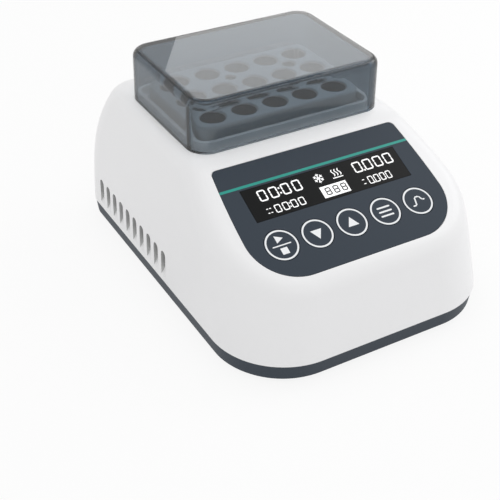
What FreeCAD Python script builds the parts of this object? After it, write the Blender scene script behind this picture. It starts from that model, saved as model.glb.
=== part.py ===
import FreeCAD, Part
import math
import os
from FreeCAD import Vector

# Dry bath incubator: a bench instrument that heats or cools an aluminium block of tube wells
# under a clear lift-off lid. All sizes are millimetres. X is the width, Y runs from the front
# (negative) to the back and Z is up. The bench is Z = 0, and X = Y = 0 is the footprint's centre.

# White upper housing: an injection moulding with leaning walls and a soft shoulder
housing_width = 122.8
deck_height = 66.0
wall = 2.4
front_corner_radius = 31.5
rear_corner_radius = 16.0
side_draft = 1.0
side_crown = 10.4
rear_draft = 5.0
rear_crown = 2.5
front_lean = 18.0
shoulder_radius = 8.5
panel_slope = 24.2
crease_radius = 30.0

# Control panel, measured down the slope from the crease where the flat deck ends
overlay_top = 5.7
overlay_top_half = 44.0
overlay_wide_half = 46.4
overlay_low_radius = 20.0
overlay_high_radius = 2.5
overlay_thickness = 1.0
overlay_gap = 0.2
front_margin = 14.0
stripe_margin = 10.6
stripe_width = 1.2
stripe_depth = 0.5
display_margin = 0.85
display_length = 74.0
display_height = 15.7
display_ledge = 1.6
key_row_margin = 5.1
key_low_margin = 8.75
key_pitch = 16.2
start_key_diameter = 14.1
key_diameter = 13.4
key_clearance = 0.2
key_travel = 0.6
key_edge_radius = 0.25
key_flange = 0.9
key_flange_thickness = 0.8
key_flange_gap = 0.1
key_stem_diameter = 3.4
key_stem_seat = 0.5
key_over_travel = 0.3

# Panel circuit board behind the slope
board_depth = 7.4
board_thickness = 1.6
switch_size = 6.0
switch_height = 3.2
display_module_length = 77.0
display_module_height = 18.4
panel_board_margin = 6.5
panel_board_top_margin = 3.4
panel_board_low_margin = 8.9
panel_boss_diameter = 5.0
panel_boss_inset = 2.5
panel_boss_down = 9.0
panel_low_boss_inset = 3.0
panel_pilot_depth = 4.0
panel_screw_diameter = 2.4
panel_screw_head_diameter = 4.6
panel_screw_head_height = 1.6

# Dark base tray and what it stands on
foot_height = 2.0
base_height = 7.6
base_floor = 2.4
base_undercut = 1.1
base_reveal = 0.3
base_edge_chamfer = 0.8
lip_height = 2.4
lip_thickness = 1.6
lip_gap = 0.25
foot_diameter = 14.0
foot_recess = 0.8
foot_chamfer = 0.6
front_foot_inset = (19.4, 23.4)
rear_foot_inset = (12.4, 31.4)

# Tube block and the opening that it drops into
well_diameter = 10.8
well_columns = 5
well_rows = 3
well_pitch_x = 14.8
well_pitch_y = 15.9
well_straight = 18.0
well_depth = 28.5
well_tip_diameter = 4.6
well_chamfer = 0.6
block_side_margin = 3.75
block_front_margin = 3.2
block_height = 32.0
block_rise = 7.4
block_corner_radius = 6.0
block_chamfer = 0.6
block_clearance = 0.35
screw_hole_diameter = 6.0
screw_web = 6.0
lifting_hole_diameter = 5.0
lifting_hole_depth = 8.0
gasket_width = 2.2
gasket_lip = 0.5
gasket_squeeze = 0.05

# Clear lid
lid_side_gap = 3.75
lid_end_gap = 5.4
lid_height = 23.0
lid_wall = 3.0
lid_corner_radius = 9.0
lid_taper = 0.25
lid_edge_radius = 3.5
lid_inner_edge_radius = 2.0
lid_front_gap = 3.4
lid_rear_gap = 23.6
rib_height = 3.8
rib_thickness = 1.6
rib_gap = 0.3

# Thermal stack under the block
spreader_thickness = 5.0
peltier_size = 30.0
peltier_thickness = 3.6
peltier_gap = 2.0
sink_base = 4.0
sink_side_margin = 12.25
sink_end_margin = 4.5
fin_side_margin = 9.0
fin_thickness = 1.2
fin_pitch = 4.2
fin_count = 13
fin_gap = 0.4
sink_screw_inset = (3.5, 4.0)
spreader_screw_offset = (4.0, 4.5)
collar_thickness = 4.5
sensor_diameter = 3.0
sensor_length = 22.0
sensor_tail = 6.0

# Fan on the base tray
fan_size = 60.0
fan_thickness = 10.0
fan_bore = 56.0
fan_hub = 27.0
fan_blades = 7
fan_blade_thickness = 1.0
fan_root_pitch = 42.0
fan_root_chord = 9.0
fan_tip_pitch = 28.0
fan_tip_chord = 14.0
fan_tip_gap = 0.8
fan_end_gap = 0.8
fan_plate = 1.6
fan_strut_width = 3.0
fan_strut_thickness = 1.2
fan_corner_radius = 3.0
fan_lift = 1.6
fan_hole_inset = 5.0
shaft_diameter = 3.0
running_clearance = 0.05
intake_slot_count = 7
intake_slot_pitch = 7.0
intake_slot_width = 4.0
intake_rim = 2.0

# Air slots through both sides
vent_count = 10
vent_pitch = 7.17
vent_width = 4.0
vent_bottom = 12.5
vent_top = 25.0
vent_ramp = 3.5
vent_rear_gap = 23.0

# Rear recess with the power inlet and the rocker switch
rear_recess_depth = 4.0
rear_recess_width = 68.0
rear_recess_bottom = 13.0
rear_recess_top = 38.0
rear_recess_radius = 3.0
inlet_x = 20.0
switch_x = -20.0
inlet_bezel = 12.0
inlet_barrel = 8.0
inlet_socket = 6.4
inlet_socket_depth = 9.5
inlet_pin = 2.1
inlet_pin_inset = 1.0
inlet_body = 10.8
inlet_bezel_thickness = 1.6
inlet_bezel_chamfer = 0.5
inlet_body_length = 12.0
rocker_frame_width = 15.0
rocker_frame_height = 21.0
rocker_frame_thickness = 1.8
rocker_frame_ledge = 0.9
rocker_frame_wall = 2.1
rocker_pocket = 5.0
rocker_side_gap = 0.25
rocker_end_gap = 1.1
rocker_body_depth = 12.0
rocker_tilt = 9.0
rocker_pin = 2.0
rocker_pin_depth = 1.2
rocker_middle = 2.2
rocker_rise = 1.4
rocker_edge = 2.8
fit_gap = 0.15

# Screws and their columns
screw_diameter = 3.0
screw_clearance = 0.05
screw_head_diameter = 5.5
screw_head_height = 2.4
screw_head_gap = 0.4
screw_drive_diameter = 2.5
pilot_squeeze = 0.3
column_diameter = 8.0
column_wall = 0.8
column_pilot_depth = 14.0
column_screw_reach = 12.0
sink_screw_reach = 7.0
block_screw_reach = 3.8
spreader_screw_reach = 3.0
tray_skin = 1.6
screw_seat = 2.0
post_diameter = 7.0
board_post_diameter = 6.0
front_column_inset = (11.4, 45.4)
rear_column_inset = (19.4, 16.4)

# Main circuit board on the base tray
main_board_depth = 46.0
main_board_side_gap = 5.2
main_board_fan_gap = 9.9
main_board_lift = 4.6
main_board_hole_inset = 4.0
capacitor_diameter = 10.0
capacitor_height = 14.0

# Places worked out from the sizes above
slope = math.radians(panel_slope)
block_width = (well_columns - 1) * well_pitch_x + well_diameter + 2 * block_side_margin
block_depth = (well_rows - 1) * well_pitch_y + well_diameter + 2 * block_front_margin
lid_width = block_width + 2 * (lid_side_gap + lid_wall)
lid_depth = block_depth + 2 * (lid_end_gap + lid_wall)
stripe_down = overlay_top + stripe_margin
display_down = stripe_down + stripe_width / 2 + display_margin + display_height / 2
key_row_down = display_down + display_height / 2 + key_row_margin + start_key_diameter / 2
overlay_bottom = key_row_down + start_key_diameter / 2 + key_low_margin
deck_length = lid_front_gap + lid_depth + lid_rear_gap
housing_depth = deck_length + overlay_bottom * math.cos(slope) + front_margin
crease_y = housing_depth / 2 - deck_length
parting_z = foot_height + base_height
floor_z = foot_height + base_floor
lid_y = crease_y + lid_front_gap + lid_depth / 2
block_y = lid_y
block_top = deck_height + block_rise
block_bottom = block_top - block_height
spreader_bottom = block_bottom - spreader_thickness
sink_top = spreader_bottom - peltier_thickness
sink_bottom = sink_top - sink_base
sink_width = block_width + 2 * sink_side_margin
sink_depth = block_depth + 2 * sink_end_margin
fan_bottom = floor_z + fan_lift
fan_top = fan_bottom + fan_thickness
fin_bottom = fan_top + fin_gap
rear_panel_y = housing_depth / 2 - rear_recess_depth
rear_row_z = (rear_recess_bottom + rear_recess_top) / 2
hole_radius = screw_diameter / 2 + screw_clearance
pilot_radius = hole_radius - pilot_squeeze
front_column = (housing_width / 2 - front_column_inset[0], front_column_inset[1] - housing_depth / 2)
rear_column = (housing_width / 2 - rear_column_inset[0], housing_depth / 2 - rear_column_inset[1])
front_foot = (housing_width / 2 - front_foot_inset[0], front_foot_inset[1] - housing_depth / 2)
rear_foot = (housing_width / 2 - rear_foot_inset[0], housing_depth / 2 - rear_foot_inset[1])
main_board_width = 2 * (front_column[0] - column_diameter / 2 - column_wall - main_board_side_gap)
main_board_y = block_y - fan_size / 2 - main_board_fan_gap - main_board_depth / 2
key_names = ("start_stop_key", "down_key", "up_key", "menu_key", "program_key")
key_sizes = (start_key_diameter, key_diameter, key_diameter, key_diameter, key_diameter)
key_places = [(i - 2) * key_pitch for i in range(5)]
panel_board_half = display_module_length / 2 + panel_board_margin
panel_board_top = display_down - display_module_height / 2 - panel_board_top_margin
panel_board_low = key_row_down + switch_size / 2 + panel_board_low_margin
panel_bosses = [
    (panel_boss_inset - panel_board_half, -panel_board_top - panel_boss_down),
    (panel_board_half - panel_boss_inset, -panel_board_top - panel_boss_down),
    (-1.5 * key_pitch, panel_low_boss_inset - panel_board_low),
    (1.5 * key_pitch, panel_low_boss_inset - panel_board_low)]


def box(x0, x1, y0, y1, z0, z1):
    return Part.makeBox(x1 - x0, y1 - y0, z1 - z0, Vector(x0, y0, z0))


def rod(x, y, z0, z1, diameter):
    return Part.makeCylinder(diameter / 2, z1 - z0, Vector(x, y, z0))


def cone(x, y, z0, z1, diameter0, diameter1):
    return Part.makeCone(diameter0 / 2, diameter1 / 2, z1 - z0, Vector(x, y, z0))


def group(shapes):
    return Part.makeCompound(shapes)


def rounded_outline(half, front, back, front_radius, back_radius, z):
    """Closed wire of a rectangle whose front and back corners have their own radii."""
    corners = [(half - front_radius, front + front_radius, front_radius, -90),
               (half - back_radius, back - back_radius, back_radius, 0),
               (back_radius - half, back - back_radius, back_radius, 90),
               (front_radius - half, front + front_radius, front_radius, 180)]
    arcs = []
    for x, y, radius, start in corners:
        turns = [math.radians(start + step) for step in (0, 45, 90)]
        arcs.append([Vector(x + radius * math.cos(t), y + radius * math.sin(t), z) for t in turns])
    edges = []
    for number, points in enumerate(arcs):
        edges.append(Part.Arc(*points).toShape())
        edges.append(Part.makeLine(points[2], arcs[(number + 1) % 4][0]))
    return Part.Wire(edges)


def rounded_box(half_x, half_y, y, radius, z0, z1):
    outline = rounded_outline(half_x, y - half_y, y + half_y, radius, radius, z0)
    return Part.Face(outline).extrude(Vector(0, 0, z1 - z0))


def on_panel(shape):
    """Moves a shape drawn flat, with Y up the slope and Z outward, onto the control panel."""
    shape.rotate(Vector(0, 0, 0), Vector(1, 0, 0), panel_slope)
    shape.translate(Vector(0, crease_y, deck_height))
    return shape


def housing_section(share, inset):
    """The housing's outline at a share of its height, from the parting line to the deck."""
    z = parting_z + share * (deck_height - parting_z)
    half = housing_width / 2 - side_draft * share - side_crown * share ** 4 - inset
    front = -housing_depth / 2 + (z - parting_z) * math.tan(math.radians(front_lean)) + inset
    back = housing_depth / 2 - rear_draft * share - rear_crown * share ** 4 - inset
    return rounded_outline(half, front, back, front_corner_radius - inset, rear_corner_radius - inset, z)


def top_profile(inset, bottom):
    """Slab under the flat deck, the soft crease and the panel slope, lowered by an inset."""
    top = deck_height - inset
    crease = crease_y + inset * math.tan(slope / 2)
    tangent = crease_radius * math.tan(slope / 2)
    reach = housing_depth
    deck_end = Vector(0, reach, top)
    arc_start = Vector(0, crease + tangent, top)
    arc_end = Vector(0, crease - tangent * math.cos(slope), top - tangent * math.sin(slope))
    arc_middle = Vector(0, arc_start.y - crease_radius * math.sin(slope / 2),
                        top - crease_radius * (1 - math.cos(slope / 2)))
    slope_end = Vector(0, crease - reach * math.cos(slope), top - reach * math.sin(slope))
    low_front = Vector(0, slope_end.y, min(bottom, slope_end.z) - 1)
    low_back = Vector(0, reach, low_front.z)
    edges = [Part.makeLine(deck_end, arc_start),
             Part.Arc(arc_start, arc_middle, arc_end).toShape(),
             Part.makeLine(arc_end, slope_end),
             Part.makeLine(slope_end, low_front),
             Part.makeLine(low_front, low_back),
             Part.makeLine(low_back, deck_end)]
    slab = Part.Face(Part.Wire(edges)).extrude(Vector(2 * housing_width, 0, 0))
    slab.translate(Vector(-housing_width, 0, 0))
    reach_box = box(-housing_width, housing_width, -reach, reach, bottom, top + 1)
    return slab.common(reach_box), arc_start, arc_end


def top_rim_edges(body, inset, arc_start, arc_end):
    """The edges where the deck, crease and slope meet the walls."""
    top = deck_height - inset
    rim = []
    for edge in body.Edges:
        middle = edge.valueAt((edge.FirstParameter + edge.LastParameter) / 2)
        if middle.y > arc_start.y:
            level = top
        elif middle.y < arc_end.y:
            level = arc_end.z - (arc_end.y - middle.y) * math.tan(slope)
        else:
            drop = crease_radius ** 2 - (arc_start.y - middle.y) ** 2
            level = top - crease_radius + math.sqrt(drop)
        across = edge.BoundBox.YLength < 0.001 and abs(middle.x) < 1 and abs(middle.y - crease_y) < 12
        if abs(middle.z - level) < 0.02 and not across:
            rim.append(edge)
    return rim


def housing_form(inset, bottom):
    """Solid of the housing's outer shape, shrunk by an inset, above a given height."""
    shares = (-0.05, 0.0, 0.2, 0.4, 0.6, 0.75, 0.88, 1.0)
    walls = Part.makeLoft([housing_section(share, inset) for share in shares], True, False)
    slab, arc_start, arc_end = top_profile(inset, bottom)
    body = walls.common(slab)
    return body.makeFillet(shoulder_radius - inset, top_rim_edges(body, inset, arc_start, arc_end))


def overlay_outline(gap, low, high):
    """The panel's outline, drawn flat and grown by a gap, between two heights over the slope."""
    top = -overlay_top + gap
    bottom = -overlay_bottom - gap
    half = overlay_top_half + gap
    wide = overlay_wide_half + gap
    small = overlay_high_radius + gap
    large = overlay_low_radius + gap
    diagonal = math.sqrt(0.5)
    points = {}
    for side in (1, -1):
        points[side] = [Vector(side * (half - small), top, low),
                        Vector(side * (half - small + small * diagonal), top - small + small * diagonal, low),
                        Vector(side * half, top - small, low),
                        Vector(side * (half + 0.68 * (wide - half)), (top - small + bottom + large) / 2, low),
                        Vector(side * wide, bottom + large, low),
                        Vector(side * (wide - large * (1 - diagonal)), bottom + large * (1 - diagonal), low),
                        Vector(side * (wide - large), bottom, low)]
    right, left = points[1], points[-1]
    edges = [Part.makeLine(left[0], right[0])]
    for start in (0, 2, 4):
        edges.append(Part.Arc(*right[start:start + 3]).toShape())
    edges.append(Part.makeLine(right[6], left[6]))
    for start in (4, 2, 0):
        edges.append(Part.Arc(left[start + 2], left[start + 1], left[start]).toShape())
    return Part.Face(Part.Wire(edges)).extrude(Vector(0, 0, high - low))


def vent_cutter(side, y):
    """One air slot: a round-topped slit whose floor ramps down to the outer face."""
    inner = housing_width / 2 - 3 * wall
    outer = housing_width / 2 + wall
    low = vent_bottom + vent_ramp
    slit = box(inner, outer, y - vent_width / 2, y + vent_width / 2, low, vent_top - vent_width / 2)
    crown = Part.makeCylinder(vent_width / 2, outer - inner,
                              Vector(inner, y, vent_top - vent_width / 2), Vector(1, 0, 0))
    face_x = housing_width / 2
    corners = [Vector(face_x - wall, y - vent_width / 2, low),
               Vector(outer, y - vent_width / 2, low),
               Vector(outer, y - vent_width / 2, vent_bottom - vent_ramp),
               Vector(face_x, y - vent_width / 2, vent_bottom)]
    ramp = Part.Face(Part.makePolygon(corners + corners[:1])).extrude(Vector(0, vent_width, 0))
    cutter = slit.fuse(crown).fuse(ramp)
    if side < 0:
        cutter = cutter.mirror(Vector(0, 0, 0), Vector(1, 0, 0))
    return cutter


def screw(x, y, head_low, tip, head_diameter=screw_head_diameter):
    """Upright screw with its head above or below its tip."""
    height = screw_head_height
    if tip > head_low:
        head = rod(x, y, head_low - height, head_low, head_diameter)
        shank = rod(x, y, head_low, tip, screw_diameter)
        drive = rod(x, y, head_low - height, head_low - height / 2, screw_drive_diameter)
    else:
        head = rod(x, y, head_low, head_low + height, head_diameter)
        shank = rod(x, y, tip, head_low, screw_diameter)
        drive = rod(x, y, head_low + height / 2, head_low + height, screw_drive_diameter)
    return head.fuse(shank).cut(drive)


def mirrored_places(places):
    return [(side * x, y) for x, y in places for side in (-1, 1)]


def make_upper_housing():
    outer = housing_form(0.0, parting_z)
    body = outer.cut(housing_form(wall, parting_z - 1))
    # screw columns hang from the deck and the slope and grow out of the walls
    columns = [rod(x, y, parting_z + lip_height + rib_gap, deck_height, column_diameter)
               for x, y in mirrored_places([front_column, rear_column])]
    # a flat plate behind the rear recess carries the inlet and the switch
    rear_half = rear_recess_width / 2
    backing = box(-rear_half - wall, rear_half + wall, rear_panel_y - wall, housing_depth / 2,
                  rear_recess_bottom - wall, rear_recess_top + wall)
    body = body.fuse([part.common(outer) for part in columns + [backing]])
    bosses = [on_panel(rod(x, y, -board_depth, -wall / 2, panel_boss_diameter)) for x, y in panel_bosses]
    # the rib that the lid drops over
    rib_half = lid_width / 2 - lid_wall - rib_gap - lid_taper
    rib_half_y = lid_depth / 2 - lid_wall - rib_gap - lid_taper
    rib_radius = lid_corner_radius - lid_wall - rib_gap
    rib = rounded_box(rib_half, rib_half_y, lid_y, rib_radius, deck_height - wall / 2,
                      deck_height + rib_height)
    rib = rib.cut(rounded_box(rib_half - rib_thickness, rib_half_y - rib_thickness, lid_y,
                              rib_radius - rib_thickness, deck_height - wall, deck_height + rib_height))
    body = body.fuse(bosses + [rib])
    cuts = []
    # seat for the gasket in the deck
    opening_x = block_width / 2 + block_clearance + gasket_width
    opening_y = block_depth / 2 + block_clearance + gasket_width
    cuts.append(rounded_box(opening_x, opening_y, block_y, block_corner_radius + gasket_width,
                            deck_height - 2 * wall, deck_height + wall))
    # panel recess, display window and key holes
    cuts.append(on_panel(overlay_outline(overlay_gap, -overlay_thickness, wall)))
    cuts.append(on_panel(box(-display_length / 2 + display_ledge, display_length / 2 - display_ledge,
                             -display_down - display_height / 2 + display_ledge,
                             -display_down + display_height / 2 - display_ledge, -2 * wall, wall)))
    for x, size in zip(key_places, key_sizes):
        cuts.append(on_panel(rod(x, -key_row_down, -2 * wall, wall, size + 2 * key_clearance)))
    for x, y in panel_bosses:
        cuts.append(on_panel(rod(x, y, -board_depth - 1, -board_depth + panel_pilot_depth, 2 * pilot_radius)))
    for x, y in mirrored_places([front_column, rear_column]):
        cuts.append(rod(x, y, parting_z, parting_z + column_pilot_depth, 2 * hole_radius))
    for number in range(vent_count):
        for side in (-1, 1):
            cuts.append(vent_cutter(side, housing_depth / 2 - vent_rear_gap - number * vent_pitch))
    # rear recess and its two holes
    recess = Part.Face(rounded_outline(rear_half, -rear_recess_top, -rear_recess_bottom,
                                       rear_recess_radius, rear_recess_radius, 0))
    recess = recess.extrude(Vector(0, 0, 2 * rear_recess_depth))
    recess.rotate(Vector(0, 0, 0), Vector(1, 0, 0), -90)
    recess.translate(Vector(0, rear_panel_y, 0))
    cuts.append(recess)
    cuts.append(Part.makeCylinder(inlet_barrel / 2 + fit_gap, 3 * wall,
                                  Vector(inlet_x, rear_panel_y - 2 * wall, rear_row_z), Vector(0, 1, 0)))
    half_w = rocker_frame_width / 2 - rocker_frame_ledge
    half_h = rocker_frame_height / 2 - rocker_frame_ledge
    cuts.append(box(switch_x - half_w - fit_gap, switch_x + half_w + fit_gap, rear_panel_y - 2 * wall,
                    rear_panel_y + wall, rear_row_z - half_h - fit_gap, rear_row_z + half_h + fit_gap))
    return body.cut(cuts)


def base_outline(inset, z):
    return rounded_outline(housing_width / 2 - inset, -housing_depth / 2 + inset, housing_depth / 2 - inset,
                           front_corner_radius - inset, rear_corner_radius - inset, z)


def make_base_tray():
    chamfer = base_edge_chamfer
    rim = Part.makeLoft([base_outline(base_undercut + chamfer, foot_height),
                         base_outline(base_undercut, foot_height + chamfer)], True, True)
    side = Part.makeLoft([base_outline(base_undercut, foot_height + chamfer),
                          base_outline(base_reveal, parting_z)], True, True)
    cavity_inset = wall + lip_gap + lip_thickness
    cavity = Part.Face(base_outline(cavity_inset, floor_z)).extrude(Vector(0, 0, base_height))
    # an upright lip keys into the white housing
    lip_top = parting_z + lip_height
    lip = housing_form(wall + lip_gap, parting_z - 1).cut(housing_form(cavity_inset, parting_z - 2))
    lip = lip.common(box(-housing_width, housing_width, -housing_depth, housing_depth,
                         parting_z - 1, lip_top))
    tray = rim.fuse(side).cut(cavity)
    keep = box(-rear_recess_width / 2 - 2 * wall, rear_recess_width / 2 + 2 * wall, rear_panel_y - 2 * wall,
               housing_depth, parting_z, parting_z + 2 * lip_height)
    posts = []
    for x, y in mirrored_places([front_column, rear_column]):
        posts.append(rod(x, y, foot_height + 1, lip_top, column_diameter + 2 * column_wall))
    for x, y in sink_corners():
        posts.append(rod(x, y, foot_height + 1, sink_bottom, post_diameter))
    for x, y in fan_corners():
        posts.append(rod(x, y, foot_height + 1, fan_bottom, post_diameter))
    for x, y in board_corners():
        posts.append(rod(x, y, foot_height + 1, floor_z + main_board_lift, board_post_diameter))
    tray = tray.fuse([lip.cut(keep)] + posts)
    cuts = []
    for x, y in mirrored_places([front_column, rear_column]):
        cuts.append(rod(x, y, foot_height - 1, floor_z + screw_seat,
                        screw_head_diameter + 2 * screw_head_gap))
        cuts.append(rod(x, y, foot_height, lip_top + 1, 2 * hole_radius))
    for x, y in sink_corners():
        cuts.append(rod(x, y, sink_bottom - sink_screw_reach - 1, sink_bottom + 1, 2 * hole_radius))
    for x, y in fan_corners():
        cuts.append(rod(x, y, foot_height + 1, fan_bottom + 1, 2 * hole_radius))
    for x, y in board_corners():
        cuts.append(rod(x, y, foot_height + 1.2, floor_z + main_board_lift + 1, 2 * hole_radius))
    for x, y in mirrored_places([front_foot, rear_foot]):
        cuts.append(rod(x, y, foot_height - 1, foot_height + foot_recess, foot_diameter + 2 * fit_gap))
    # intake slots under the fan
    for number in range(intake_slot_count):
        offset = (number - (intake_slot_count - 1) / 2) * intake_slot_pitch
        reach = math.sqrt((fan_bore / 2 - intake_rim) ** 2 - offset ** 2)
        cuts.append(box(-reach, reach, block_y + offset - intake_slot_width / 2,
                        block_y + offset + intake_slot_width / 2, foot_height - 1, floor_z + 0.5))
    return tray.cut(cuts)


def corners(half_x, half_y, y):
    return [(sx * half_x, y + sy * half_y) for sx in (-1, 1) for sy in (-1, 1)]


def fan_corners():
    half = fan_size / 2 - fan_hole_inset
    return corners(half, half, block_y)


def sink_corners():
    return corners(sink_width / 2 - sink_screw_inset[0], sink_depth / 2 - sink_screw_inset[1], block_y)


def spreader_corners():
    half_x = (peltier_size + peltier_gap) / 2 + peltier_size / 2 + spreader_screw_offset[0]
    return corners(half_x, peltier_size / 2 + spreader_screw_offset[1], block_y)


def board_corners():
    inset = main_board_hole_inset
    return corners(main_board_width / 2 - inset, main_board_depth / 2 - inset, main_board_y)


def make_rubber_feet():
    feet = []
    for x, y in mirrored_places([front_foot, rear_foot]):
        foot = rod(x, y, 0, foot_height + foot_recess, foot_diameter)
        edge = [e for e in foot.Edges if e.BoundBox.ZMax < 0.01 and len(e.Vertexes) == 1]
        feet.append(foot.makeChamfer(foot_chamfer, edge))
    return group(feet)


def make_housing_screws():
    return group([screw(x, y, floor_z + screw_seat, parting_z + column_screw_reach) for x, y in
                  mirrored_places([front_column, rear_column])])


def make_panel_overlay():
    plate = overlay_outline(0.0, -overlay_thickness, 0.0)
    window = box(-display_length / 2, display_length / 2, -display_down - display_height / 2,
                 -display_down + display_height / 2, -2 * overlay_thickness, overlay_thickness)
    groove = stripe_form(overlay_thickness)
    cuts = [window, groove]
    for x, size in zip(key_places, key_sizes):
        cuts.append(rod(x, -key_row_down, -2 * overlay_thickness, overlay_thickness,
                        size + 2 * key_clearance))
    return on_panel(plate.cut(cuts))


def stripe_form(top):
    half = overlay_wide_half + 1
    strip = box(-half, half, -stripe_down - stripe_width / 2, -stripe_down + stripe_width / 2,
                -stripe_depth, top)
    return strip.common(overlay_outline(0.0, -overlay_thickness, top))


def make_display_window():
    half_x = display_length / 2 - fit_gap
    half_y = display_height / 2 - fit_gap
    return on_panel(box(-half_x, half_x, -display_down - half_y, -display_down + half_y,
                        -overlay_thickness, 0.0))


def make_display_module():
    half_x = display_module_length / 2
    half_y = display_module_height / 2
    body = box(-half_x, half_x, -display_down - half_y, -display_down + half_y, -board_depth, -wall - fit_gap)
    glass_half_x = display_length / 2 - display_ledge - fit_gap
    glass_half_y = display_height / 2 - display_ledge - fit_gap
    glass = box(-glass_half_x, glass_half_x, -display_down - glass_half_y, -display_down + glass_half_y,
                -wall - 2 * fit_gap, -overlay_thickness - fit_gap)
    return on_panel(body.fuse(glass))


def key_flange_diameter(size):
    return size + 2 * key_clearance + 2 * key_flange


def make_key(x, size):
    """Key cap with a flange that holds it under the wall and a stem into its switch."""
    flange_top = -wall - key_flange_gap
    flange_low = flange_top - key_flange_thickness
    cap = rod(x, -key_row_down, flange_top, 0.0, size)
    rim = [e for e in cap.Edges if e.BoundBox.ZMin > -0.01 and len(e.Vertexes) == 1]
    cap = cap.makeFillet(key_edge_radius, rim)
    flange = rod(x, -key_row_down, flange_low, flange_top, key_flange_diameter(size))
    # flats keep neighbouring flanges apart
    flat = key_pitch / 2 - key_over_travel
    flange = flange.common(box(x - flat, x + flat, -key_row_down - size, -key_row_down + size, flange_low, 0))
    stem = rod(x, -key_row_down, switch_top() - key_stem_seat, flange_low, key_stem_diameter)
    return on_panel(cap.fuse(flange).fuse(stem))


def switch_top():
    return switch_height - board_depth


def make_key_switches():
    switches = []
    half = switch_size / 2
    pocket_low = switch_top() - key_stem_seat - key_travel - key_over_travel
    for x in key_places:
        body = box(x - half, x + half, -key_row_down - half, -key_row_down + half, -board_depth, switch_top())
        pocket = rod(x, -key_row_down, pocket_low, switch_top() + 1, key_stem_diameter + 2 * fit_gap)
        switches.append(on_panel(body.cut(pocket)))
    return group(switches)


def make_panel_board():
    low = -board_depth - board_thickness
    half = panel_board_half
    low_half = 2 * key_pitch + switch_size / 2 + key_clearance
    shoulder = -key_row_down + switch_size
    outline = [(-half, -panel_board_top), (half, -panel_board_top), (half, shoulder),
               (low_half, -panel_board_low), (-low_half, -panel_board_low), (-half, shoulder)]
    wire = Part.makePolygon([Vector(x, y, low) for x, y in outline + outline[:1]])
    board = Part.Face(wire).extrude(Vector(0, 0, board_thickness))
    # controller, regulator and the cable's socket on the board's back
    middle = -display_down
    parts = [box(-12, 2, middle - 6, middle + 5, low - 1.6, low),
             box(14, 22, middle - 4, middle + 2, low - 1.2, low),
             box(-34, -20, middle - 7, middle - 1, low - 5.0, low)]
    holes = [rod(x, y, low - 1, low + board_thickness + 1, 2 * pilot_radius) for x, y in panel_bosses]
    return on_panel(board.fuse(parts).cut(holes))


def make_panel_screws():
    low = -board_depth - board_thickness
    head_low = low - panel_screw_head_height
    screws = []
    for x, y in panel_bosses:
        head = rod(x, y, head_low, low, panel_screw_head_diameter)
        shank = rod(x, y, low, -board_depth + panel_pilot_depth - fit_gap, panel_screw_diameter)
        drive = rod(x, y, head_low, head_low + panel_screw_head_height / 2, panel_screw_diameter / 1.5)
        screws.append(on_panel(head.fuse(shank).cut(drive)))
    return group(screws)


def make_lid():
    def form(inset, top, edge_radius):
        half_x = lid_width / 2 - inset
        half_y = lid_depth / 2 - inset
        radius = lid_corner_radius - inset
        sections = []
        for lean, z in ((0.0, deck_height), (lid_taper, top)):
            sections.append(rounded_outline(half_x - lean, lid_y - half_y + lean, lid_y + half_y - lean,
                                            radius, radius, z))
        solid = Part.makeLoft(sections, True, True)
        rim = [e for e in solid.Edges if e.BoundBox.ZMin > top - 0.01]
        return solid.makeFillet(edge_radius, rim)
    lid_top = deck_height + lid_height
    hollow = form(lid_wall, lid_top - lid_wall, lid_inner_edge_radius)
    return form(0.0, lid_top, lid_edge_radius).cut(hollow)


def well_places():
    places = []
    for row in range(well_rows):
        for column in range(well_columns):
            x = (column - (well_columns - 1) / 2) * well_pitch_x
            y = (row - (well_rows - 1) / 2) * well_pitch_y
            places.append((x, block_y + y))
    return places


def block_screw_places():
    return [(side * 1.5 * well_pitch_x, block_y + side * 0.5 * well_pitch_y) for side in (-1, 1)]


def make_tube_block():
    block = rounded_box(block_width / 2, block_depth / 2, block_y, block_corner_radius,
                        block_bottom, block_top)
    rims = [e for e in block.Edges if e.BoundBox.ZLength < 0.01]
    block = block.makeChamfer(block_chamfer, rims)
    cuts = []
    for x, y in well_places():
        straight_low = block_top - well_straight
        tip_z = block_top - well_depth
        well = rod(x, y, straight_low, block_top + 1, well_diameter)
        taper = cone(x, y, tip_z, straight_low, well_tip_diameter, well_diameter)
        rim = cone(x, y, block_top - well_chamfer, block_top, well_diameter, well_diameter + 2 * well_chamfer)
        cuts.append(well.fuse(taper).fuse(rim))
    for x, y in block_screw_places():
        cuts.append(rod(x, y, block_bottom + screw_web, block_top + 1, screw_hole_diameter))
        cuts.append(rod(x, y, block_bottom - 1, block_top, 2 * (hole_radius + screw_clearance)))
        cuts.append(cone(x, y, block_top - well_chamfer, block_top, screw_hole_diameter,
                         screw_hole_diameter + 2 * well_chamfer))
    lift_x, lift_y = -0.5 * well_pitch_x, block_y + 0.5 * well_pitch_y
    cuts.append(rod(lift_x, lift_y, block_top - lifting_hole_depth, block_top + 1, lifting_hole_diameter))
    return block.cut(cuts)


def make_block_screws():
    head_z = block_bottom + screw_web
    return group([screw(x, y, head_z, block_bottom - block_screw_reach) for x, y in block_screw_places()])


def make_deck_gasket():
    inner_x = block_width / 2 + block_clearance
    inner_y = block_depth / 2 + block_clearance
    radius = block_corner_radius + block_clearance
    low = deck_height - wall
    width = gasket_width - gasket_squeeze
    ring = rounded_box(inner_x + width, inner_y + width, block_y, radius + gasket_width,
                       low, deck_height + gasket_lip)
    return ring.cut(rounded_box(inner_x, inner_y, block_y, radius, low - 1, deck_height + 1))


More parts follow.
